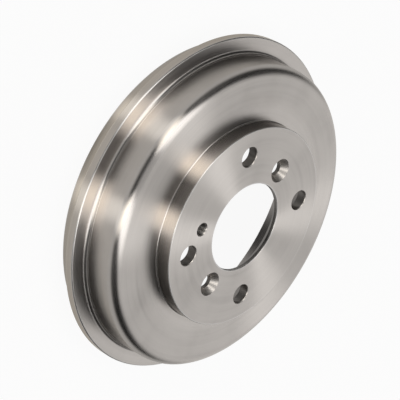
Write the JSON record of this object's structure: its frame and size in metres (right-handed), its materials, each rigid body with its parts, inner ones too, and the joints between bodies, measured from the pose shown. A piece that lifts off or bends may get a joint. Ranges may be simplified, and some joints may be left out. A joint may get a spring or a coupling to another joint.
{
  "type": "brake drum",
  "caption": "Round cast iron brake drum with a stiffening flange near its open end, a raised hub plate, stud holes and a centre bore.",
  "frame": {"origin": "centre of the open end's plane, on the drum's axis", "axes": "+Z along the drum's axis, from the open end to the hub face; +X towards one of the wheel stud holes"},
  "size_m": [0.226, 0.226, 0.053],
  "materials": {
    "machined_iron": "fine turned, bare"
  },
  "bodies": {
    "root": {"brake_drum": "machined_iron"}
  },
  "joints": []
}
